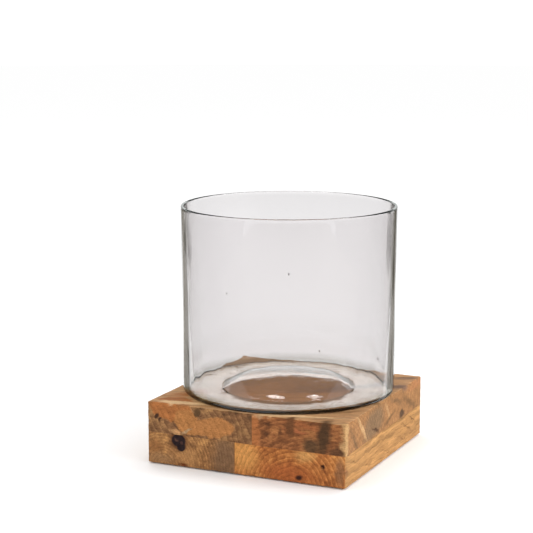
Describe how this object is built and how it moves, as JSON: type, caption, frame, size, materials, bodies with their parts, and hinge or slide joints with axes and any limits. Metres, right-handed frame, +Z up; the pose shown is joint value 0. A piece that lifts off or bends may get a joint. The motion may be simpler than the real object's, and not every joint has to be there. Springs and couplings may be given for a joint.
{
  "type": "hurricane candle holder",
  "caption": "Clear glass cylinder with a closed bottom, standing loose on a square block glued up from wooden boards; holds a pillar candle.",
  "frame": {"origin": "centre of the base, on the plane that its felt feet stand on", "axes": "+Z up along the glass's axis; the front of the base faces -Y and its right side faces +X"},
  "size_m": [0.206, 0.206, 0.2391],
  "materials": {
    "clear_glass": "hand-made clear glass, polished, faintly wavy, with a few seeds",
    "spalted_board": "mango wood, end grain to the front, orange-brown with grey-brown spalting, sanded and thinly oiled",
    "brown_board": "mango wood, reddish brown with dark bands, sanded and thinly oiled",
    "knotty_board": "mango wood, golden brown with a dark knot, sanded and thinly oiled",
    "golden_board": "mango wood, orange-brown with arched growth rings, sanded and thinly oiled",
    "felt": "dark brown pressed felt"
  },
  "bodies": {
    "base": {"upper_left_block": "spalted_board", "upper_right_block": "brown_board", "lower_left_block": "knotty_board", "lower_right_block": "golden_board", "felt_foot_front_left": "felt", "felt_foot_front_right": "felt", "felt_foot_back_left": "felt", "felt_foot_back_right": "felt"},
    "glass": {"glass_cylinder": "clear_glass"}
  },
  "joints": [
    {"name": "glass_lift", "type": "slide", "parent": "base", "child": "glass", "axis": [0, 0, 1], "range_m": [0, 0.25]}
  ]
}
